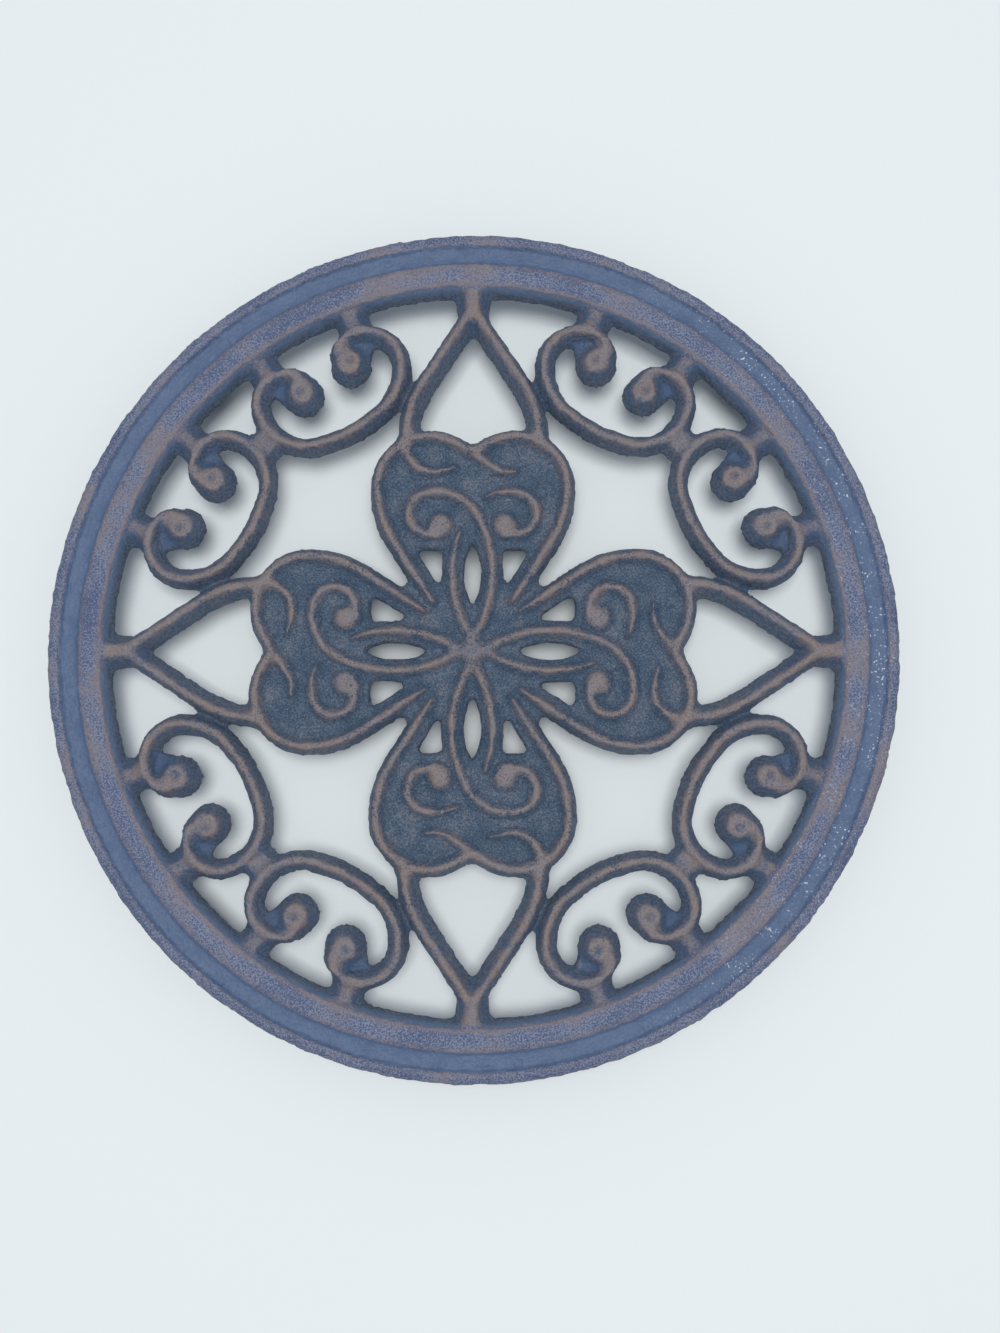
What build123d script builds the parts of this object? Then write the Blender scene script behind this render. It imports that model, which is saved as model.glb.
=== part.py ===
from build123d import *
import os
from math import ceil, cos, radians, sin

# Round openwork trivet: one iron casting on four pegs, with a rubber cap pushed over each peg.
# Millimetres, +Z up, origin on the table under the middle of the trivet.
# A trail is a start point, a heading in degrees and a list of runs. A run is (radius, turn) for an arc,
# left turns positive, or (length, 0) for a straight. Trails are drawn for the heart at the top (+Y).

# Rim: a ring with a cove between two flat lands
rim_diameter = 197.0
rim_height = 6.0
rim_width = 14.4
rim_outer_land = 3.2
rim_inner_land = 5.4
rim_inner_flank = 1.4
rim_outer_draft = 0.4
rim_edge = 0.9
cove_depth = 0.9
cove_slope = 1.3

# Strands: drafted ridges with a narrow crest and blunt ends. The crest of a heart's flank narrows to a tip.
strand_height = 5.6
crest_half = 0.95
scroll_inner_half = 3.0
scroll_outer_half = 2.4
arch_inner_half = 3.2
arch_outer_half = 2.5
heart_half = 2.3
nose_share = 0.7
tip_length = 9.0
flank_tip = 0.35

# Arcs and bosses are cut into flats, which keeps the many repeated strands light
flat_turn = 12.0
boss_sides = 12
web_sides = 8
foot_sides = 24

# C-scroll, with a bulb in each volute and a low web beside it. The far volute hooks round onto its bulb.
# Places beside the scroll are measured ahead of its start or end and to the left.
scroll_start = (31.5, 69.4)
scroll_heading = 91.0
scroll_runs = [(6.3, 87), (8.5, 90), (14.2, 48), (33.3, 31), (11.6, 88), (6.9, 110), (3.6, 101)]
scroll_gap = 4.08
near_bulb = (-1.66, 2.53)
bulb_foot = 4.7
bulb_crest = 2.6
near_web = (3.1, 4.7)
near_web_radius = 3.4
far_web = (-0.3, 5.2)
far_web_radius = 3.1
web_height = 2.2
gusset_place = 68.9
gusset_foot = 4.6
gusset_crest = 2.8
gusset_height = 4.6

# Necks between the tracery and the rim
neck_angles = (69.9, 53.4)
neck_foot_half = 4.4
neck_crest_half = 1.5
neck_height = 4.8

# Arch: two legs from under the rim down to a heart
arch_inset = 3.5
arch_slope = 33.6
arch_straight = 21.1
arch_bend = 23.6
arch_tail = 2.0

# Heart: a thin plate edged by two mirrored strands
heart_start = (8.9, 10.8)
heart_heading = 57.1
heart_runs = [(8.5, 0), (9.1, 0), (23.3, 32.5), (12.1, 120)]
plate_height = 3.2
hub_radius = 22.0

# Beads on the heart plates: two crossing stems that end in spirals, a ribbon and a tail
bead_top = 5.2
bead_foot_half = 1.6
bead_crest_half = 0.8
bead_tip = 0.3
stem_start = (-0.4, 1.9)
stem_heading = 54.8
stem_runs = [(28.1, 63.1), (11.2, 76.6), (5.0, 205.5)]
under_stem_turn = 57.0
under_gap_turn = 30.0
spiral_bulb = (0.21, 1.25)
spiral_bulb_foot = 3.0
spiral_bulb_crest = 1.9
ribbon_runs = [(6.3, 103), (4.6, 0)]
tail_drop = 7.0
tail_runs = [(5.5, 0), (7.5, 55)]
hub_boss_foot = 3.6
hub_boss_crest = 2.6

# Openings in the heart plates: a pointed slot between the stems and a small light on each side
slot_low = 10.2
slot_high = 25.6
slot_half = 2.0
light_corners = [(6.9, 23.7), (7.4, 14.3), (13.2, 23.6)]

# Pegs under the rim and the rubber caps on them
peg_count = 4
peg_turn = 45.0
peg_length = 7.4
peg_radius = 3.2
peg_inset = 5.9
cap_floor = 2.6
cap_wall = 1.65
cap_edge = 0.9
cap_gap = 1.8
cap_clearance = 0.05

# What follows from the sizes above
rim_radius = rim_diameter / 2
rim_inner = rim_radius - rim_width
rim_crown = rim_inner + rim_inner_flank
underside = cap_floor + peg_length
peg_circle = rim_radius - peg_inset

# How far a piece is sunk into the one that carries it, what counts as a flat wall, and tips of full width
overlap = 0.4
flat_limit = 1e-6
full = (1, 1)


def polar(length, angle):
    return Vector(length * cos(radians(angle)), length * sin(radians(angle)))


def advance(here, heading, size, turn):
    """Point and heading at the end of one run."""
    if turn == 0:
        return here + polar(size, heading), heading
    side = 1 if turn > 0 else -1
    centre = here + polar(size * side, heading + 90)
    return centre + (here - centre).rotate(Axis.Z, turn), heading + turn


def trail_stations(trail):
    """Points along a trail, each with the heading there."""
    here, heading, runs = trail
    stations = [(Vector(*here), heading)]
    for size, turn in runs:
        here, heading = stations[-1]
        flats = max(1, ceil(abs(turn) / flat_turn))
        stations += [advance(here, heading, size, turn * flat / flats) for flat in range(1, flats + 1)]
    return stations


def trail_end(trail):
    return trail_stations(trail)[-1]


def width_share(distance, tip):
    """Share of its full width that a strand has at a distance from its tip."""
    return min(1, tip + (1 - tip) * distance / tip_length)


def trail_points(trail, shift=0, tips=full):
    """Points along a trail, moved sideways by a shift, left positive, which narrows towards the tips."""
    stations = trail_stations(trail)
    gone = [0]
    for (last, _), (point, _) in zip(stations, stations[1:]):
        gone.append(gone[-1] + (point - last).length)
    points = []
    for (point, heading), length in zip(stations, gone):
        share = min(width_share(length, tips[0]), width_share(gone[-1] - length, tips[1]))
        points.append(point + polar(shift * share, heading + 90))
    return points


def mirrored(trail):
    """The same trail on the other side of the Y axis."""
    (x, y), heading, runs = trail
    return (-x, y), 180 - heading, [(size, -turn) for size, turn in runs]


def beside(point, heading, place):
    """A point given by its distances ahead of another and to its left."""
    ahead, left = place
    return point + polar(ahead, heading) + polar(left, heading + 90)


def wall(corners):
    """One side of a drafted solid: a flat face, or two triangles where its top and bottom aren't parallel."""
    a, b, c, d = corners
    twist = (b - a).cross(d - a).dot(c - a)
    return [corners] if abs(twist) < flat_limit else [[a, b, c], [a, c, d]]


def drafted(foot, crest, bottom, top):
    """Solid between two matching outlines, the foot below and the crest above."""
    low = [Vector(point.X, point.Y, bottom) for point in foot]
    high = [Vector(point.X, point.Y, top) for point in crest]
    outlines = [low, high]
    for i in range(len(low)):
        outlines += wall([low[i - 1], low[i], high[i], high[i - 1]])
    return Solid(Shell([Face(Wire.make_polygon(corners)) for corners in outlines]))


def outline(trail, left, right, tips):
    """Both sides of a ridge, closed at each end by a blunt nose. Its tips are shares of its full width."""
    near = trail_points(trail, left, tips)
    far = trail_points(trail, -right, tips)
    nose = (left + right) / 2 * nose_share
    front = (near[-1] + far[-1]) / 2 + polar(nose * tips[1], trail_end(trail)[1])
    back = (near[0] + far[0]) / 2 - polar(nose * tips[0], trail[1])
    return near + [front] + far[::-1] + [back]


def ridge(foot, crest, bottom, top):
    """A ridge with drafted flanks. Foot and crest are each a trail, its left and right halves and its tips."""
    return drafted(outline(*foot), outline(*crest), bottom, top)


def strand(trail, left, right, crest_tips=full):
    return ridge((trail, left, right, full), (trail, crest_half, crest_half, crest_tips), 0, strand_height)


def neck(start, heading, length, height):
    trail = (start.X, start.Y), heading, [(length, 0)]
    foot = trail, neck_foot_half, neck_foot_half, full
    crest = trail, neck_crest_half, neck_crest_half, full
    return ridge(foot, crest, 0, height)


def bead(trail, tips=full):
    foot = trail, bead_foot_half, bead_foot_half, tips
    crest = trail, bead_crest_half, bead_crest_half, tips
    return ridge(foot, crest, plate_height - overlap, bead_top)


def ring(point, radius, sides):
    """Corners of a regular outline round a point."""
    return [point + polar(radius, 360 * side / sides) for side in range(sides)]


def boss(point, foot, crest, bottom, top, sides):
    return drafted(ring(point, foot, sides), ring(point, crest, sides), bottom, top)


def bulb(point):
    return boss(point, bulb_foot, bulb_crest, 0, strand_height, boss_sides)


def web(point, radius):
    return boss(point, radius, radius, 0, web_height, web_sides)


# The tracery is drawn for this rim, and scaled when the rim changes, so that the scrolls stay beside it
scroll_drawn = (scroll_start, scroll_heading, scroll_runs)
fit = (rim_inner - scroll_gap) / max(point.length for point in trail_points(scroll_drawn))


def fitted_runs(runs):
    return [(size * fit, turn) for size, turn in runs]


def fitted(start, heading, runs):
    """A drawn trail, scaled to the rim."""
    return (start[0] * fit, start[1] * fit), heading, fitted_runs(runs)


def make_rim():
    outer_top = rim_radius - rim_outer_draft
    cove_outer = rim_radius - rim_outer_land
    cove_inner = rim_crown + rim_inner_land
    cove_floor = rim_height - cove_depth
    profile = Polyline(
        (rim_inner, 0),
        (rim_radius - rim_edge, 0),
        (rim_radius, rim_edge),
        (outer_top, rim_height - rim_edge),
        (outer_top - rim_edge, rim_height),
        (cove_outer, rim_height),
        (cove_outer - cove_slope, cove_floor),
        (cove_inner + cove_slope, cove_floor),
        (cove_inner, rim_height),
        (rim_crown, rim_height),
        close=True,
    )
    return revolve(Plane.XZ * make_face(profile), Axis.Z).solid()


def scroll_pieces():
    trail = fitted(*scroll_drawn)
    start = Vector(*trail[0])
    end, end_heading = trail_end(trail)
    reach = scroll_gap + rim_inner_flank
    necks = [neck(polar(rim_inner - scroll_gap, angle), angle, reach, neck_height) for angle in neck_angles]
    return necks + [
        strand(trail, scroll_inner_half, scroll_outer_half),
        bulb(beside(start, scroll_heading, near_bulb)),
        bulb(end),
        web(beside(start, scroll_heading, near_web), near_web_radius),
        web(beside(end, end_heading, far_web), far_web_radius),
    ]


def gusset():
    """A saddle on the diagonal, where a scroll comes closest to its neighbour."""
    return boss(polar(gusset_place * fit, 45), gusset_foot, gusset_crest, 0, gusset_height, web_sides)


def arch_trail():
    runs = fitted_runs([(arch_straight, 0), (arch_bend, -arch_slope), (arch_tail, 0)])
    return (0, rim_inner - arch_inset), arch_slope - 90, runs


def arch_pieces():
    leg = strand(arch_trail(), arch_outer_half, arch_inner_half)
    apex = Vector(0, rim_inner - arch_inset)
    top_neck = neck(apex, 90, arch_inset + rim_inner_flank, strand_height)
    return [leg, mirror(leg, Plane.YZ), top_neck]


def heart_trail():
    """From near the middle, up one flank, over the lobe and down to the cleft on the Y axis."""
    start, heading, runs = fitted(heart_start, heart_heading, heart_runs)
    lobe_end, dip_heading = trail_end((start, heading, runs))
    dip = -lobe_end.X / cos(radians(dip_heading))
    return start, heading, runs + [(dip, 0)]


def heart_pieces():
    trail = heart_trail()
    edge = strand(trail, heart_half, heart_half, (flank_tip, 1))
    border = trail_points(trail) + trail_points(mirrored(trail))[-2::-1]
    plate = drafted(border, border, 0, plate_height)
    return [edge, mirror(edge, Plane.YZ), plate]


def relief_pieces():
    """Beads of one heart. One stem crosses over, and the other breaks off on each side of it."""
    stem = fitted(stem_start, stem_heading, stem_runs)
    under_runs = [(stem_runs[0][0], under_stem_turn)]
    curl_radius, curl_turn = stem_runs[1]
    gap_runs = [stem_runs[0], (curl_radius, under_gap_turn)]
    gap_end, gap_heading = trail_end((stem_start, stem_heading, gap_runs))
    curl_runs = [(curl_radius, curl_turn - under_gap_turn), stem_runs[2]]
    leg_end = trail_end(arch_trail())[0]
    cleft, dip_heading = trail_end(heart_trail())
    ribbon = (-leg_end.X, leg_end.Y), -90, fitted_runs(ribbon_runs)
    tail = (0, cleft.Y), 180 - dip_heading - tail_drop, fitted_runs(tail_runs)
    beads = [
        bead(stem),
        bead(mirrored(fitted(stem_start, stem_heading, under_runs)), (1, bead_tip)),
        bead(mirrored(fitted((gap_end.X, gap_end.Y), gap_heading, curl_runs)), (bead_tip, 1)),
        bead(ribbon, (1, bead_tip)),
        bead(tail, (1, bead_tip)),
    ]
    spiral_end, spiral_heading = trail_end(stem)
    middle = beside(spiral_end, spiral_heading, spiral_bulb)
    knob = boss(middle, spiral_bulb_foot, spiral_bulb_crest, plate_height - overlap, bead_top, boss_sides)
    return beads + [knob, mirror(knob, Plane.YZ)]


def plate_openings():
    low = Vector(0, slot_low * fit)
    high = Vector(0, slot_high * fit)
    middle = (low + high) / 2
    sides = [Edge.make_three_point_arc(low, middle + Vector(side * slot_half), high) for side in (1, -1)]
    slot = extrude(Face(Wire(sides)), plate_height).solid()
    corners = [Vector(x * fit, y * fit) for x, y in light_corners]
    light = drafted(corners, corners, 0, plate_height)
    return [slot, light, mirror(light, Plane.YZ)]


def around(pieces):
    """Four copies: the top one, its mirror across y = x, and both turned half round."""
    swap = Plane((0, 0, 0), x_dir=(0, 0, 1), z_dir=(1, -1, 0))
    pair = pieces + [mirror(piece, swap) for piece in pieces]
    return pair + [piece.rotate(Axis.Z, 180) for piece in pair]


def peg_places():
    return PolarLocations(peg_circle, peg_count, peg_turn)


def make_casting():
    scroll = scroll_pieces()
    scrolls = scroll + [mirror(piece, Plane.YZ) for piece in scroll]
    tracery = around(scrolls + arch_pieces() + heart_pieces() + relief_pieces())
    first_gusset = gusset()
    gussets = [first_gusset.rotate(Axis.Z, quarter * 90) for quarter in range(4)]
    hub = Solid.make_cylinder(hub_radius, plate_height)
    hub_boss = boss(Vector(), hub_boss_foot, hub_boss_crest, plate_height - overlap, bead_top, boss_sides)
    peg = boss(Vector(), peg_radius, peg_radius, -peg_length, overlap, foot_sides)
    pegs = [place * peg for place in peg_places()]
    whole = make_rim().fuse(*tracery, *gussets, hub, hub_boss, *pegs)
    return Pos(0, 0, underside) * whole.cut(*around(plate_openings()))


def make_cap():
    """A rubber cup for a peg, with its lower edge broken."""
    bore = peg_radius + cap_clearance
    outside = bore + cap_wall
    height = underside - cap_gap
    sole = boss(Vector(), outside - cap_edge, outside, 0, cap_edge, foot_sides)
    side = boss(Vector(), outside, outside, cap_edge, height, foot_sides)
    hollow = boss(Vector(), bore, bore, cap_floor, height, foot_sides)
    return sole.fuse(side).cut(hollow)


os.makedirs("parts", exist_ok=True)
export_step(make_casting(), "parts/casting.step")
cap = make_cap()
for number, place in enumerate(peg_places(), start=1):
    export_step(place * cap, f"parts/foot_cap_{number}.step")
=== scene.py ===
# %% [markdown]
# # A round cast-iron trivet
#
# The real trivet is one sand-cast iron plate: a coved rim, eight C-scrolls, four arches and four hearts,
# all poured together, on four pegs with rubber caps. This lesson loads the measured solids, gives the
# casting the soft, grainy skin of a sand mould, makes the caps, paints both and lights them.

# %% The measured solids
from math import cos, radians, sin

import bpy
from mathutils import Matrix, Vector
from mathutils.kdtree import KDTree


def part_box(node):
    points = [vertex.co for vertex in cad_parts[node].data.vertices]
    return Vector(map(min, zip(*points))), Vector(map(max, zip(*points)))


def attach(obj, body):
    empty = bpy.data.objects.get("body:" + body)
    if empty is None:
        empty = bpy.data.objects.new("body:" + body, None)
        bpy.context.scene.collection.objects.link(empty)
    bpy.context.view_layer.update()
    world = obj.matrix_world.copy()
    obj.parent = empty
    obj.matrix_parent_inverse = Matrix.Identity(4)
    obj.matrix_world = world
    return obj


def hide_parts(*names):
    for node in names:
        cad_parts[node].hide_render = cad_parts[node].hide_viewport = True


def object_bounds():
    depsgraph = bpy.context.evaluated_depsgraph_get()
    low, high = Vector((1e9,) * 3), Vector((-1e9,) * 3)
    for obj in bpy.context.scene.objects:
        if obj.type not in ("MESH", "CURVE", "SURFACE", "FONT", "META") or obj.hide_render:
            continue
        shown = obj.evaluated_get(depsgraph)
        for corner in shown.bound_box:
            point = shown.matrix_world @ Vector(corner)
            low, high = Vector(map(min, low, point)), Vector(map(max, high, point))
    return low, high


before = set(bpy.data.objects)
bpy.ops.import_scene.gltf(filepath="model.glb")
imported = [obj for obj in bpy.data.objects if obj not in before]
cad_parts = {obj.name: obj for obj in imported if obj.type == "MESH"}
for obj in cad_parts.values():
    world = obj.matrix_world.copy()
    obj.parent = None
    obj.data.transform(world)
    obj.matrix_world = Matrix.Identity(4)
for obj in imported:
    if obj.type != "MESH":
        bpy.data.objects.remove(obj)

bpy.context.scene.view_settings.view_transform = "Standard"
cad_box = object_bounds()
print("solids:", ", ".join(sorted(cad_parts)))

millimetres = 1000


def mm(length):
    """Millimetres to the metres of the scene."""
    return length / millimetres


# %% [markdown]
# ## The camera
#
# The photo looks almost straight down from about a forearm's length above the table. The camera's place
# follows from the way the round rim and the pattern on it are foreshortened. The picture's up is +Y.

# %% Camera at the photo's place
photo_width = 1000
focal_length_in_pixels = 1344
sensor_width = 36
camera_place = Vector((mm(10.2), mm(-27.5), mm(323)))
camera_target = Vector((mm(6.4), mm(-3.8), mm(15)))
picture_up = Vector((0, 1, 0))

camera_data = bpy.data.cameras.new("photo_camera")
camera_data.sensor_fit = "HORIZONTAL"
camera_data.sensor_width = sensor_width
camera_data.lens = sensor_width * focal_length_in_pixels / photo_width
camera = bpy.data.objects.new("photo_camera", camera_data)
bpy.context.collection.objects.link(camera)
backward = (camera_place - camera_target).normalized()
rightward = picture_up.cross(backward).normalized()
upward = backward.cross(rightward)
turn = Matrix((rightward, upward, backward)).transposed()
camera.matrix_world = Matrix.Translation(camera_place) @ turn.to_4x4()
bpy.context.scene.camera = camera
print(f"lens {camera_data.lens:.1f} mm, {camera_place.z * millimetres:.0f} mm above the table")

# %% [markdown]
# ## The casting's skin
#
# A sand mould leaves no sharp edge: crests are round, strands flow into the rim in soft hollows, and the
# skin is a little wavy and grainy. A bevel can't run through so many crossings, so the measured solid is
# copied and remeshed into small even cells, which can then be moved about like clay.

# %% Copy and remesh
cell = mm(0.5)
merge_distance = mm(0.001)


def only(piece):
    """Makes a piece the one selected and active object."""
    bpy.ops.object.select_all(action="DESELECT")
    piece.select_set(True)
    bpy.context.view_layer.objects.active = piece


def apply_modifier(piece, kind, **settings):
    """Adds a modifier with its settings and applies it."""
    only(piece)
    modifier = piece.modifiers.new(kind.lower(), kind)
    for name, value in settings.items():
        setattr(modifier, name, value)
    bpy.ops.object.modifier_apply(modifier=modifier.name)


casting = bpy.data.objects.new("trivet_casting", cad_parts["casting"].data.copy())
bpy.context.collection.objects.link(casting)
only(casting)
bpy.ops.object.mode_set(mode="EDIT")
bpy.ops.mesh.select_all(action="SELECT")
bpy.ops.mesh.remove_doubles(threshold=merge_distance)
bpy.ops.object.mode_set(mode="OBJECT")
apply_modifier(casting, "REMESH", mode="VOXEL", voxel_size=cell)
print(f"remeshed casting: {len(casting.data.polygons)} faces")

# %% [markdown]
# ## Round edges
#
# The Smooth modifier draws every point towards its neighbours, which rounds the edges. The rim is relaxed
# less than the tracery, because its lands and its cove are crisp on the real casting. Walls are relaxed
# most, because the cells leave small steps on whatever is steep.

# %% Relax the rim, the tracery and the walls
relax_factor = 0.5
rim_relax_steps = 2
tracery_relax_steps = 7
wall_relax_steps = 18
wall_lean = 0.6
tracery_radius = mm(84.5)
tracery_fade = mm(2)


def relax(piece, steps, group=""):
    """Draws the points of a piece, or of one group on it, towards their neighbours."""
    apply_modifier(piece, "SMOOTH", factor=relax_factor, iterations=steps, vertex_group=group)


tracery = casting.vertex_groups.new(name="tracery")
for point in casting.data.vertices:
    inside = (tracery_radius + tracery_fade - point.co.xy.length) / tracery_fade
    tracery.add([point.index], min(max(inside, 0), 1), "REPLACE")
relax(casting, rim_relax_steps)
relax(casting, tracery_relax_steps, "tracery")
walls = casting.vertex_groups.new(name="walls")
wall_points = [point.index for point in casting.data.vertices if abs(point.normal.z) < wall_lean]
walls.add(wall_points, 1, "REPLACE")
relax(casting, wall_relax_steps, "walls")
print(f"relaxed casting: {len(wall_points)} of {len(casting.data.vertices)} points are on walls")

# %% [markdown]
# ## Soft hollows
#
# Iron shrinks and sand crumbles in inner corners, so pattern makers fill them with a fillet. The fillets
# could be sculpted, but one rule treats all the crossings alike. A second, strongly relaxed copy of the skin
# stands out of the first one in every hollow and sinks below it on every edge. The skin follows it most of
# the way in the hollows and part of the way on the shoulders of the strands, while crests keep their height.

# %% Fill the inner corners and round the shoulders
relaxed_steps = 26
hollow_share = 0.85
shoulder_share = 0.6
crest_lean = 0.99
shoulder_lean = 0.8


def ease(value, start, end):
    """A smooth step from 0 at the start to 1 at the end, which may be the smaller of the two."""
    share = min(max((value - start) / (end - start), 0), 1)
    return share * share * (3 - 2 * share)


relaxed = casting.copy()
relaxed.data = casting.data.copy()
bpy.context.collection.objects.link(relaxed)
relax(relaxed, relaxed_steps, "tracery")
lifts = []
for point, soft in zip(casting.data.vertices, relaxed.data.vertices):
    lift = (soft.co - point.co).dot(point.normal)
    shoulder = shoulder_share * ease(point.normal.z, crest_lean, shoulder_lean)
    lifts.append(point.normal * lift * (hollow_share if lift > 0 else shoulder))
for point, lift in zip(casting.data.vertices, lifts):
    point.co += lift
casting.data.update()
bpy.data.objects.remove(relaxed)
print(f"largest move: {max(lift.length for lift in lifts) * millimetres:.2f} mm")

# %% [markdown]
# ## The cove
#
# The groove round the rim has a flat floor and two steep walls, and relaxing has softened them. A boolean
# could cut it again, but would break up the even cells. So each point on top of the rim gets its height back
# from a profile that is nearly flat in the middle and rises fast at both edges.

# %% Cut the cove again
cove_middle = mm(93.1)
cove_half = mm(2.25)
cove_depth = mm(0.9)
cove_power = 8
rim_top = cad_box[1][2]
# points lower than this are on the rim's underside
cove_lowest = rim_top - 2 * cove_depth

for point in casting.data.vertices:
    off_middle = abs(point.co.xy.length - cove_middle) / cove_half
    if off_middle < 1 and point.co.z > cove_lowest:
        point.co.z = rim_top - cove_depth * (1 - off_middle ** cove_power)
casting.data.update()
print(f"cove: {2 * cove_half * millimetres:.1f} mm wide")

# %% [markdown]
# ## Volute heads
#
# Both ends of every scroll are round heads, fatter than the strand, and the crest hooks round a small
# dimple on the side where the scroll curls in. The spirals on the hearts end in smaller knobs. Relaxing has
# shrunk them all. Balls could be joined on, but would leave seams, so the skin itself is swelled from the
# middle of each head, and then the dimples are pressed in. One place of each kind, mirrored and turned,
# gives the rest.

# %% Where the heads and dimples are
# each place is a radius and an angle in degrees
near_head = (mm(73.6), 66.8)
far_head = (mm(72.6), 56.6)
spiral_knob = (mm(30.2), 75.8)
near_dimple = (mm(74.0), 67.2)
far_dimple = (mm(73.1), 56.3)
hearts = 4
quarter_turn = 90
sides = (1, -1)


def around(*spots):
    """Spots, each given by its radius and angle, on both sides of all four hearts, in a search tree."""
    copies = KDTree(len(spots) * hearts * len(sides))
    for number, (radius, angle) in enumerate(spots):
        for heart in range(hearts):
            for side in sides:
                bearing = radians(quarter_turn * heart + side * (quarter_turn - angle))
                copies.insert((radius * cos(bearing), radius * sin(bearing), 0), number)
    copies.balance()
    return copies


def from_nearest(point, spots):
    """The way to a point of the skin, seen from above, from the nearest of the spots."""
    below = Vector((point.co.x, point.co.y, 0))
    return below - spots.find(below)[0]


heads = around(near_head, far_head)
knobs = around(spiral_knob)
dimples = around(near_dimple, far_dimple)
print(f"places: {hearts * len(sides)} of each kind")

# %% Swell the heads and press their dimples
head_radius = mm(4.6)
head_reach = mm(7.2)
head_swell = mm(0.7)
knob_radius = mm(2.4)
knob_reach = mm(4.2)
knob_swell = mm(0.7)
dimple_radius = mm(1.4)
dimple_depth = mm(0.7)
dimple_lowest = mm(13)


def swell(middles, radius, reach, growth):
    """Swells heads sideways from their middles, most at their radius and not at all past their reach."""
    for point in casting.data.vertices:
        way = from_nearest(point, middles)
        if way.length < reach:
            share = min(way.length / radius, 1) * (1 - ease(way.length, radius, reach))
            point.co += way.normalized() * growth * share


swell(heads, head_radius, head_reach, head_swell)
swell(knobs, knob_radius, knob_reach, knob_swell)
pressed = 0
for point in casting.data.vertices:
    away = from_nearest(point, dimples).length
    if away < dimple_radius and point.co.z > dimple_lowest:
        point.co.z -= dimple_depth * (1 - ease(away, 0, dimple_radius))
        pressed += 1
casting.data.update()
print(f"heads and knobs swelled, dimples pressed into {pressed} points")

# %% [markdown]
# ## Sand
#
# The mould's sand gives way in soft waves, and its grains stand in the skin. A bump in the finish would show
# neither along an outline, so noise moves the skin itself in and out. The mesh is thinned in between, so
# that the grain comes on the final points.

# %% Waves and sand grain
wave_size = mm(5)
wave_height = mm(0.5)
grain_size = mm(0.8)
grain_height = mm(0.75)
triangle_limit = 195000


def roughen(piece, name, size, height):
    """Moves a skin in and out by a cloudy noise of one size."""
    clouds = bpy.data.textures.new(name, "CLOUDS")
    clouds.noise_scale = size
    apply_modifier(piece, "DISPLACE", texture=clouds, texture_coords="LOCAL", strength=height)


def triangles_of(piece):
    """How many triangles the faces of a piece come to."""
    return sum(len(face.vertices) - 2 for face in piece.data.polygons)


roughen(casting, "mould_waves", wave_size, wave_height)
triangles = triangles_of(casting)
if triangles > triangle_limit:
    apply_modifier(casting, "DECIMATE", ratio=triangle_limit / triangles)
roughen(casting, "sand_grain", grain_size, grain_height)
only(casting)
bpy.ops.object.shade_smooth()
print(f"casting thinned from {triangles} triangles to {triangles_of(casting)}")

# %% [markdown]
# ## Where hands and pots rub
#
# The blackening wears off what stands up and faces up: crests and beads, but not the heart plates, which lie
# lower, the walls, which are steep, or the dimples. It could be painted on by hand, but a rule wears all
# sides alike. Each point of the skin keeps its share of rubbing in an attribute of its own, from its height
# and from how far its normal leans. A second attribute says how steep the skin is, because the walls are
# painted a paler blue, a painted sheen, and a third how near it is to an edge of the rim's two lands.

# %% Rubbing, point by point
rub_low = mm(13.7)
rub_high = mm(15.0)
rub_steep = 0.2
rub_level = 0.95
wall_steep = 0.25
wall_level = 0.8
# the crossing in the middle and the dimples are rubbed less, and so are the necks, which rise to the rim
hub_reach = mm(9)
hub_least = 0.6
dimple_least = 0.5
neck_start = mm(76)
neck_full = mm(82)
neck_drop = mm(0.25)
edge_reach = mm(0.8)
# the radius of each edge line, and how strong it is
edge_lines = ((mm(85.9), 0.8), (mm(90.5), 0.55), (mm(95.7), 0.3), (mm(98.0), 0.3))

rubbed = casting.data.attributes.new("rubbed", "FLOAT", "POINT")
# the steep share places the painted sheen of the walls
steep = casting.data.attributes.new("steep", "FLOAT", "POINT")
edges = casting.data.attributes.new("edges", "FLOAT", "POINT")
for point in casting.data.vertices:
    lean = point.normal.z
    radius = point.co.xy.length
    height = point.co.z - neck_drop * ease(radius, neck_start, neck_full)
    rub = ease(height, rub_low, rub_high) * ease(lean, rub_steep, rub_level)
    rub *= hub_least + (1 - hub_least) * ease(radius, 0, hub_reach)
    from_dimple = from_nearest(point, dimples).length
    rub *= dimple_least + (1 - dimple_least) * ease(from_dimple, 0, dimple_radius)
    rubbed.data[point.index].value = rub
    steep.data[point.index].value = 1 - ease(lean, wall_steep, wall_level)
    near_lines = [share * (1 - ease(abs(radius - line), 0, edge_reach)) for line, share in edge_lines]
    edges.data[point.index].value = max(near_lines)
rub_mean = sum(entry.value for entry in rubbed.data) / len(rubbed.data)
print(f"mean rubbing: {rub_mean:.0%}")

# %% [markdown]
# ## The rubber caps
#
# Each peg wears a small moulded cup that keeps the iron off the table. A cup could be spun from a drawn
# profile, but a cylinder needs no drawing: it gets its bore by an inset and an extrusion down, then the
# sole's edge and the lip are bevelled round. Four copies of it, each with a mesh of its own, go on the pegs.

# %% Measure a cap and add its cylinder
cap_names = ["foot_cap_1", "foot_cap_2", "foot_cap_3", "foot_cap_4"]
cap_sides = 96

cap_low, cap_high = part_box(cap_names[0])
cap_radius = (cap_high[0] - cap_low[0]) / 2
cap_height = cap_high[2] - cap_low[2]
bpy.ops.object.select_all(action="DESELECT")
bpy.ops.mesh.primitive_cylinder_add(
    vertices=cap_sides, radius=cap_radius, depth=cap_height, location=(0, 0, cap_height / 2)
)
cap = bpy.context.object
bpy.ops.object.transform_apply(location=True, rotation=True, scale=True)
print(f"cap: {2 * cap_radius * millimetres:.1f} mm across, {cap_height * millimetres:.1f} mm high")

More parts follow.
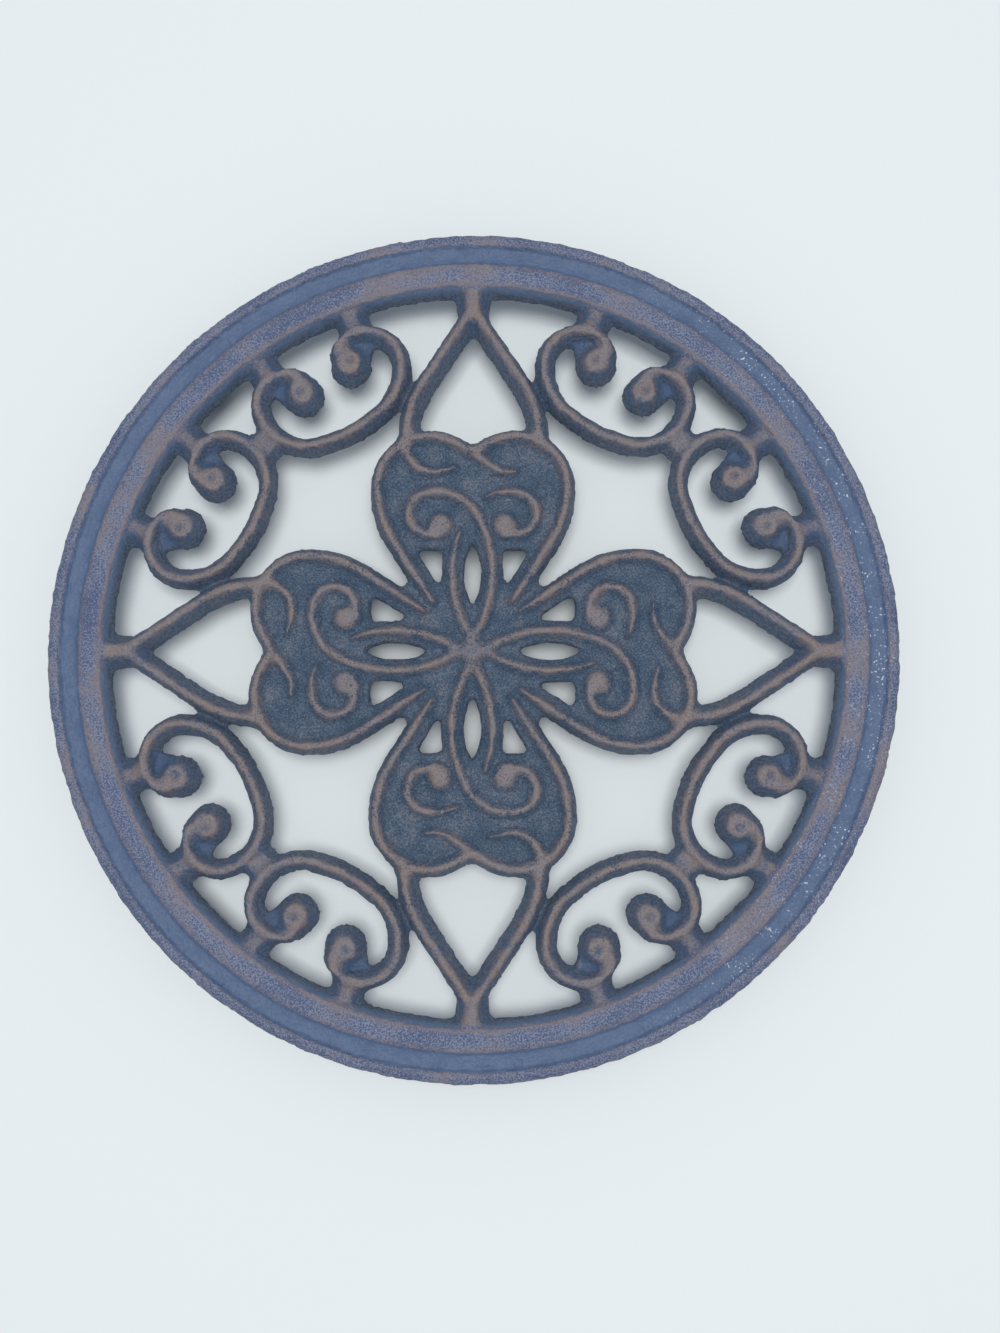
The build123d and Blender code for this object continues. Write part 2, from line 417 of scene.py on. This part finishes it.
# %% Shape one cap
cap_wall = mm(1.6)
cap_floor = mm(2.6)
sole_round = mm(0.9)
lip_round = mm(0.35)
round_steps = 4
# radians: where two faces meet at a larger angle, the edge stays crisp
crisp_angle = 0.7


def select_edges(piece, wanted):
    """Selects, in edit mode, the edges whose two ends both pass a test on their place."""
    bpy.ops.object.mode_set(mode="EDIT")
    bpy.ops.mesh.select_mode(type="EDGE")
    bpy.ops.mesh.select_all(action="DESELECT")
    bpy.ops.object.mode_set(mode="OBJECT")
    points = piece.data.vertices
    for edge in piece.data.edges:
        edge.select = all(wanted(points[corner].co) for corner in edge.vertices)
    bpy.ops.object.mode_set(mode="EDIT")


select_edges(cap, lambda place: place.z > cap_height / 2)
bpy.ops.mesh.select_mode(type="FACE")
bpy.ops.mesh.inset(thickness=cap_wall)
bpy.ops.mesh.extrude_region_move(TRANSFORM_OT_translate={"value": (0, 0, cap_floor - cap_height)})
select_edges(cap, lambda place: place.z < cap_floor / 2)
bpy.ops.mesh.bevel(offset=sole_round, segments=round_steps, affect="EDGES")
select_edges(cap, lambda place: place.z > cap_height - lip_round)
bpy.ops.mesh.bevel(offset=lip_round, segments=round_steps, affect="EDGES")
bpy.ops.object.mode_set(mode="OBJECT")
only(cap)
bpy.ops.object.shade_smooth_by_angle(angle=crisp_angle)
print(f"one cap: {len(cap.data.polygons)} faces")

# %% A copy on each peg
caps = []


def middle_of(name):
    """The middle of a solid's box."""
    low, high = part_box(name)
    return (Vector(low) + Vector(high)) / 2


for name in cap_names:
    copy = bpy.data.objects.new("rubber_" + name, cap.data.copy())
    bpy.context.collection.objects.link(copy)
    centre = middle_of(name)
    copy.data.transform(Matrix.Translation((centre.x, centre.y, cap_low[2])))
    caps.append(copy)
bpy.data.objects.remove(cap)
print("caps:", ", ".join(piece.name for piece in caps))

# %% [markdown]
# ## Nodes and colours
#
# Every finish below is a small node tree. One function adds a node with its settings and its links, and one
# turns a colour written in hex, as it looks on a screen, into the linear colour that the shader works in.
# Sockets go by number where a node has several of the same name. In a Map Range, 0 is the value, 1 and 2 are
# the ends it comes from, and 3 and 4 the ends it is brought to, 0 and 1 if nothing else is said. In a Mix of
# colours, 0 is the share of the second colour, 6 and 7 are the two colours, and output 2 is the result.

# %% Helpers for finishes
smooth = {"interpolation_type": "SMOOTHSTEP"}
mixed = {"out": 2, "data_type": "RGBA"}


def linear(code):
    """An sRGB hex colour as a linear RGBA colour."""
    channels = [int(code[i:i + 2], 16) / 255 for i in (0, 2, 4)]
    return [c / 12.92 if c <= 0.04045 else ((c + 0.055) / 1.055) ** 2.4 for c in channels] + [1]


def add(tree, kind, inputs=(), out=0, **settings):
    """Adds a node and gives one of its outputs. Inputs are pairs of a socket and a value or an output."""
    made = tree.nodes.new(kind)
    for name, value in settings.items():
        setattr(made, name, value)
    for socket, value in inputs:
        if isinstance(value, bpy.types.NodeSocket):
            tree.links.new(value, made.inputs[socket])
        else:
            made.inputs[socket].default_value = value
    return made.outputs[out]


def new_material(name):
    """A new node material and its shader."""
    material = bpy.data.materials.new(name)
    material.use_nodes = True
    return material, material.node_tree.nodes["Principled BSDF"]


print(f"a grey of 808080 is {linear('808080')[0]:.3f} in linear light")

# %% [markdown]
# ## Oil-blackened cast iron
#
# Sand-cast iron, heated and oiled until it is blue-black, then rubbed brown by use. To the eye it is dull
# and grainy, dark blue in the hollows and soft brown on what stands up. A painted picture could be wrapped
# round it, but noise at the real sizes of grit and sand fits every side without a seam. The finish is built
# in layers: the film, the brown of the crests, the rim, the dust, and the gloss over all of them. In their
# values, low and high are the levels of a pattern between which one colour gives way to the next.

# %% The patterns that the layers share
grit_size = mm(0.38)
sand_size = mm(0.7)
patch_size = mm(5)
patch_detail = 3
mottle_size = mm(14)

iron, iron_shader = new_material("oil_blackened_cast_iron")
tree = iron.node_tree
place = add(tree, "ShaderNodeTexCoord", out="Object")
flat = add(tree, "ShaderNodeVectorMath", [(0, place), (1, (1, 1, 0))], operation="MULTIPLY")
from_hub = add(tree, "ShaderNodeVectorMath", [(0, flat)], out="Value", operation="LENGTH")
rubbing = add(tree, "ShaderNodeAttribute", out="Fac", attribute_name="rubbed")
steepness = add(tree, "ShaderNodeAttribute", out="Fac", attribute_name="steep")
edge_share = add(tree, "ShaderNodeAttribute", out="Fac", attribute_name="edges")
grit = add(tree, "ShaderNodeTexNoise", [("Vector", place), ("Scale", 1 / grit_size)])
sand = add(tree, "ShaderNodeTexNoise", [("Vector", place), ("Scale", 1 / sand_size)])
patch = add(
    tree, "ShaderNodeTexNoise", [("Vector", place), ("Scale", 1 / patch_size), ("Detail", patch_detail)]
)
mottle = add(tree, "ShaderNodeTexNoise", [("Vector", place), ("Scale", 1 / mottle_size)])
print(f"patterns: {len(tree.nodes)} nodes")

# %% [markdown]
# ### The dark film
#
# Burnt oil leaves a thin blue-black film. It is darkest and grainy on the heart plates, partly the film's
# own dark and partly painted shade for plates that lie low between the ridges. It is bluer on the webs
# beside the rim, and paler, with flecks, on the steep walls, where the paler blue is a painted sheen and the
# flecks are the sand.

# %% The film
# the plates' dark is partly the film's own and partly painted shade, for lying low between the ridges
plate_dark = "2F4157"
plate_light = "526477"
plate_patches = 0.4
plate_low = 0.5
plate_high = 0.9
web_blue = "455976"
web_start = mm(62)
web_full = mm(66)
# painted sheen: the steep walls are painted a paler blue for the blue light on them; the flecks are the sand
wall_sheen_dark = "475C76"
wall_sheen_light = "6A7280"
fleck_low = 0.4
fleck_high = 0.64

grainy = add(tree, "ShaderNodeMath", [(0, patch), (1, plate_patches), (2, grit)], operation="MULTIPLY_ADD")
grainy = add(tree, "ShaderNodeMapRange", [(0, grainy), (1, plate_low), (2, plate_high)], **smooth)
film = add(tree, "ShaderNodeMix", [(0, grainy), (6, linear(plate_dark)), (7, linear(plate_light))], **mixed)
web = add(tree, "ShaderNodeMapRange", [(0, from_hub), (1, web_start), (2, web_full)], **smooth)
film = add(tree, "ShaderNodeMix", [(0, web), (6, film), (7, linear(web_blue))], **mixed)
flecks = add(tree, "ShaderNodeMapRange", [(0, sand), (1, fleck_low), (2, fleck_high)], **smooth)
wall_sheen = add(tree, "ShaderNodeMix", [(0, flecks), (6, linear(wall_sheen_dark)), (7, linear(wall_sheen_light))], **mixed)
# the walls' painted sheen goes on by how steep the skin is
film = add(tree, "ShaderNodeMix", [(0, steepness), (6, film), (7, wall_sheen)], **mixed)
print(f"with the film: {len(tree.nodes)} nodes")

# %% [markdown]
# ### The brown of the crests
#
# Where the film is rubbed off, the iron is brown. The brown is ragged at its edge, because the film goes
# grain by grain, and it turns grey in places. Where it is rubbed most it has a painted highlight, a paler
# brown.

# %% Where the film is worn off
ragged_low = 0.6
ragged_high = 1.4
ragged_swing = 0.75
speck_low = 0.3
speck_high = 0.7
speck_swing = 0.5

ragged = add(tree, "ShaderNodeMath", [(0, sand), (1, patch)], operation="ADD")
ragged = add(
    tree, "ShaderNodeMapRange",
    [(0, ragged), (1, ragged_low), (2, ragged_high), (3, -ragged_swing), (4, ragged_swing)],
)
specks = add(
    tree, "ShaderNodeMapRange",
    [(0, grit), (1, speck_low), (2, speck_high), (3, -speck_swing), (4, speck_swing)],
)
worn = add(tree, "ShaderNodeMath", [(0, rubbing), (1, ragged)], operation="ADD")
worn = add(tree, "ShaderNodeMath", [(0, worn), (1, specks)], operation="ADD")
worn = add(tree, "ShaderNodeMapRange", [(0, worn)], **smooth)
print(f"with the wear: {len(tree.nodes)} nodes")

# %% The brown
crest_brown = "766865"
crest_grey = "696A75"
tint_mottle = 0.5
tint_low = 0.6
tint_high = 0.9
# painted highlight: a paler brown on the most rubbed crests
crest_highlight_colour = "847875"
highlight_specks = 0.5
highlight_low = 0.8
highlight_high = 1.15
highlight_most = 0.6

tint = add(tree, "ShaderNodeMath", [(0, mottle), (1, tint_mottle), (2, sand)], operation="MULTIPLY_ADD")
tint = add(tree, "ShaderNodeMapRange", [(0, tint), (1, tint_low), (2, tint_high)], **smooth)
brown = add(tree, "ShaderNodeMix", [(0, tint), (6, linear(crest_brown)), (7, linear(crest_grey))], **mixed)
# where the painted highlight goes: the most rubbed crests, broken up by the specks
crest_highlight = add(
    tree, "ShaderNodeMath", [(0, specks), (1, highlight_specks), (2, rubbing)], operation="MULTIPLY_ADD"
)
crest_highlight = add(
    tree, "ShaderNodeMapRange", [(0, crest_highlight), (1, highlight_low), (2, highlight_high), (4, highlight_most)], **smooth
)
brown = add(tree, "ShaderNodeMix", [(0, crest_highlight), (6, brown), (7, linear(crest_highlight_colour))], **mixed)
tracery_colour = add(tree, "ShaderNodeMix", [(0, worn), (6, film), (7, brown)], **mixed)
print(f"with the brown: {len(tree.nodes)} nodes")

# %% [markdown]
# ### The rim
#
# A blue cove runs between two flat lands. The lands are a speckle of dark and pale grains, rusty in patches,
# with a brown line along each edge, and the wall on their inner side is painted the clearest blue of all, a
# painted sheen.

# %% The lands
land_dark = "435172"
land_light = "747C93"
speckle_mottle = 0.4
speckle_low = 0.6
speckle_high = 0.8
rust = "7A6A66"
rust_low = 0.5
rust_high = 0.68
rust_most = 0.45
edge_brown = "746A6D"

speckle = add(
    tree, "ShaderNodeMath", [(0, mottle), (1, speckle_mottle), (2, grit)], operation="MULTIPLY_ADD"
)
speckle = add(tree, "ShaderNodeMapRange", [(0, speckle), (1, speckle_low), (2, speckle_high)], **smooth)
lands = add(tree, "ShaderNodeMix", [(0, speckle), (6, linear(land_dark)), (7, linear(land_light))], **mixed)
rusty = add(
    tree, "ShaderNodeMapRange", [(0, mottle), (1, rust_low), (2, rust_high), (4, rust_most)], **smooth
)
lands = add(tree, "ShaderNodeMix", [(0, rusty), (6, lands), (7, linear(rust))], **mixed)
lands = add(tree, "ShaderNodeMix", [(0, edge_share), (6, lands), (7, linear(edge_brown))], **mixed)
print(f"with the lands: {len(tree.nodes)} nodes")

# %% The cove and the inner wall
cove_dark = "4A5D7B"
cove_light = "586B8B"
land_start = mm(2.0)
land_full = mm(2.4)
land_waver = mm(0.25)
# painted sheen: the rim's steep inner wall is painted the clearest blue
flank_sheen_blue = "687E9E"
rim_start = mm(84.4)
rim_full = mm(85.4)

off_cove = add(tree, "ShaderNodeMath", [(0, from_hub), (1, cove_middle)], operation="SUBTRACT")
off_cove = add(tree, "ShaderNodeMath", [(0, off_cove)], operation="ABSOLUTE")
off_cove = add(
    tree, "ShaderNodeMath", [(0, ragged), (1, land_waver), (2, off_cove)], operation="MULTIPLY_ADD"
)
on_land = add(tree, "ShaderNodeMapRange", [(0, off_cove), (1, land_start), (2, land_full)], **smooth)
cove = add(tree, "ShaderNodeMix", [(0, patch), (6, linear(cove_dark)), (7, linear(cove_light))], **mixed)
ring = add(tree, "ShaderNodeMix", [(0, on_land), (6, cove), (7, lands)], **mixed)
# the painted sheen goes on the steep skin inside the cove's middle, which is the rim's inner wall
inner = add(tree, "ShaderNodeMath", [(0, from_hub), (1, cove_middle)], operation="LESS_THAN")
inner = add(tree, "ShaderNodeMath", [(0, inner), (1, steepness)], operation="MULTIPLY")
ring = add(tree, "ShaderNodeMix", [(0, inner), (6, ring), (7, linear(flank_sheen_blue))], **mixed)
on_rim = add(tree, "ShaderNodeMapRange", [(0, from_hub), (1, rim_start), (2, rim_full)], **smooth)
colour = add(tree, "ShaderNodeMix", [(0, on_rim), (6, tracery_colour), (7, ring)], **mixed)
print(f"with the rim: {len(tree.nodes)} nodes")

# %% [markdown]
# ### Dust
#
# A little pale dust has settled on the rim in drifts, mostly in the cove and on the right. It is a fine
# noise. Spread evenly that would look like snow, so it is multiplied by the share of each place.

# %% The dust
dust_white = "C4CCD6"
dust_size = mm(0.6)
dust_detail = 1
dust_least = 0.64
dust_most = 0.7
dusty_from = mm(30)
dusty_full = mm(70)
drift_low = 0.4
drift_high = 0.6
cove_dust = 1
land_dust = 0.35

dust = add(
    tree, "ShaderNodeTexNoise", [("Vector", place), ("Scale", 1 / dust_size), ("Detail", dust_detail)]
)
dust = add(tree, "ShaderNodeMapRange", [(0, dust), (1, dust_least), (2, dust_most)], **smooth)
to_right = add(tree, "ShaderNodeSeparateXYZ", [(0, place)], out="X")
on_right = add(tree, "ShaderNodeMapRange", [(0, to_right), (1, dusty_from), (2, dusty_full)], **smooth)
drift = add(tree, "ShaderNodeMapRange", [(0, patch), (1, drift_low), (2, drift_high)], **smooth)
settled = add(tree, "ShaderNodeMapRange", [(0, on_land), (3, cove_dust), (4, land_dust)])
for share in (on_right, drift, settled, on_rim):
    dust = add(tree, "ShaderNodeMath", [(0, dust), (1, share)], operation="MULTIPLY")
colour = add(tree, "ShaderNodeMix", [(0, dust), (6, colour), (7, linear(dust_white))], **mixed)
tree.links.new(colour, iron_shader.inputs["Base Color"])
print(f"with the dust: {len(tree.nodes)} nodes")

# %% [markdown]
# ### Gloss and grain
#
# The film scatters light, and rubbed iron shines a little more. The finest sand grain is a bump, because it
# is too small for the mesh.

# %% The gloss, and the finish put on the casting
film_roughness = 0.68
worn_roughness = 0.42
gloss_level = 0.3
grain_detail = 4
grain_depth = mm(0.3)

roughness = add(tree, "ShaderNodeMapRange", [(0, worn), (3, film_roughness), (4, worn_roughness)])
tree.links.new(roughness, iron_shader.inputs["Roughness"])
iron_shader.inputs["Specular IOR Level"].default_value = gloss_level
grain = add(
    tree, "ShaderNodeTexNoise", [("Vector", place), ("Scale", 1 / sand_size), ("Detail", grain_detail)]
)
bump = add(tree, "ShaderNodeBump", [("Height", grain), ("Distance", grain_depth), ("Strength", 1)])
tree.links.new(bump, iron_shader.inputs["Normal"])

casting.data.materials.clear()
casting.data.materials.append(iron)
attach(casting, "root")
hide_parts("casting")
print(f"casting painted: {len(tree.nodes)} nodes in all")

# %% [markdown]
# ## Moulded black rubber
#
# Soft rubber straight from a mould. To the eye it is almost black and matt, with a faint grey bloom and a
# very fine grain. One plain colour could do for pieces so small, but the bloom and the grain let light
# play on them.

# %% The rubber, put on the caps
rubber_black = "26282B"
rubber_bloom = "34373A"
bloom_size = mm(1.2)
rubber_roughness = 0.75
# the mould's own grain is finer, and this is as coarse as it needs to be to show
rubber_grain = mm(0.25)
rubber_grain_depth = mm(0.03)
rubber_grain_strength = 0.5

rubber, rubber_shader = new_material("moulded_black_rubber")
tree = rubber.node_tree
place = add(tree, "ShaderNodeTexCoord", out="Object")
bloom = add(tree, "ShaderNodeTexNoise", [("Vector", place), ("Scale", 1 / bloom_size)])
colour = add(
    tree, "ShaderNodeMix", [(0, bloom), (6, linear(rubber_black)), (7, linear(rubber_bloom))], **mixed
)
tree.links.new(colour, rubber_shader.inputs["Base Color"])
rubber_shader.inputs["Roughness"].default_value = rubber_roughness
grain = add(tree, "ShaderNodeTexNoise", [("Vector", place), ("Scale", 1 / rubber_grain)])
bump = add(
    tree, "ShaderNodeBump",
    [("Height", grain), ("Distance", rubber_grain_depth), ("Strength", rubber_grain_strength)],
)
tree.links.new(bump, rubber_shader.inputs["Normal"])

for piece, name in zip(caps, cap_names):
    piece.data.materials.append(rubber)
    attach(piece, "root")
    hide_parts(name)
print(f"caps painted: {len(tree.nodes)} nodes")

# %% [markdown]
# ## The floor and the light
#
# A pale, cool table. The photo's light comes from almost straight above, so the shadows hide under the iron
# and even the table inside the openings is bright. A faintly blue fill from all round keeps the walls blue.

# %% Floor
floor_colour = "E3E9E9"
floor_roughness = 0.6
floor_size = 6

table, table_shader = new_material("pale_table")
table_shader.inputs["Base Color"].default_value = linear(floor_colour)
table_shader.inputs["Roughness"].default_value = floor_roughness
bpy.ops.object.select_all(action="DESELECT")
bpy.ops.mesh.primitive_plane_add(size=floor_size)
floor = bpy.context.object
floor.name = "table_top"
floor.data.materials.append(table)
print(f"floor: {floor_size} m square")

# %% Lamp
lamp_place = Vector((mm(40), mm(60), mm(2400)))
lamp_size = 1.0
lamp_watts = 35

lamp_data = bpy.data.lights.new("window_light", "AREA")
lamp_data.shape = "SQUARE"
lamp_data.size = lamp_size
lamp_data.energy = lamp_watts
lamp = bpy.data.objects.new("window_light", lamp_data)
bpy.context.collection.objects.link(lamp)
lamp.location = lamp_place
lamp.rotation_euler = (-lamp_place).to_track_quat("-Z", "Y").to_euler()
print(f"lamp: {lamp_watts} W from {lamp_place.z:.1f} m up")

# %% [markdown]
# ## The surroundings
#
# The world does two jobs. It fills the shadows with soft light, and it is the pale backdrop that the camera
# and shiny iron see. One background could do both, but then the backdrop's brightness would light the iron
# too, so the kind of ray decides which of two backgrounds it meets.

# %% Fill light and backdrop
sky_colour = "F2F6FD"
sky_strength = 0.48
backdrop_strength = 1

world = bpy.data.worlds.new("sky_fill")
bpy.context.scene.world = world
world.use_nodes = True
sky = world.node_tree
fill = add(sky, "ShaderNodeBackground", [("Color", linear(sky_colour)), ("Strength", sky_strength)])
backdrop = add(
    sky, "ShaderNodeBackground", [("Color", linear(floor_colour)), ("Strength", backdrop_strength)]
)
seen = add(sky, "ShaderNodeLightPath", out="Is Camera Ray")
for ray in ("Is Glossy Ray", "Is Transmission Ray"):
    also = add(sky, "ShaderNodeLightPath", out=ray)
    seen = add(sky, "ShaderNodeMath", [(0, seen), (1, also)], operation="MAXIMUM")
surround = add(sky, "ShaderNodeMixShader", [(0, seen), (1, fill), (2, backdrop)])
sky.links.new(surround, sky.nodes["World Output"].inputs["Surface"])
print(f"fill light at {sky_strength}, backdrop at {backdrop_strength}")
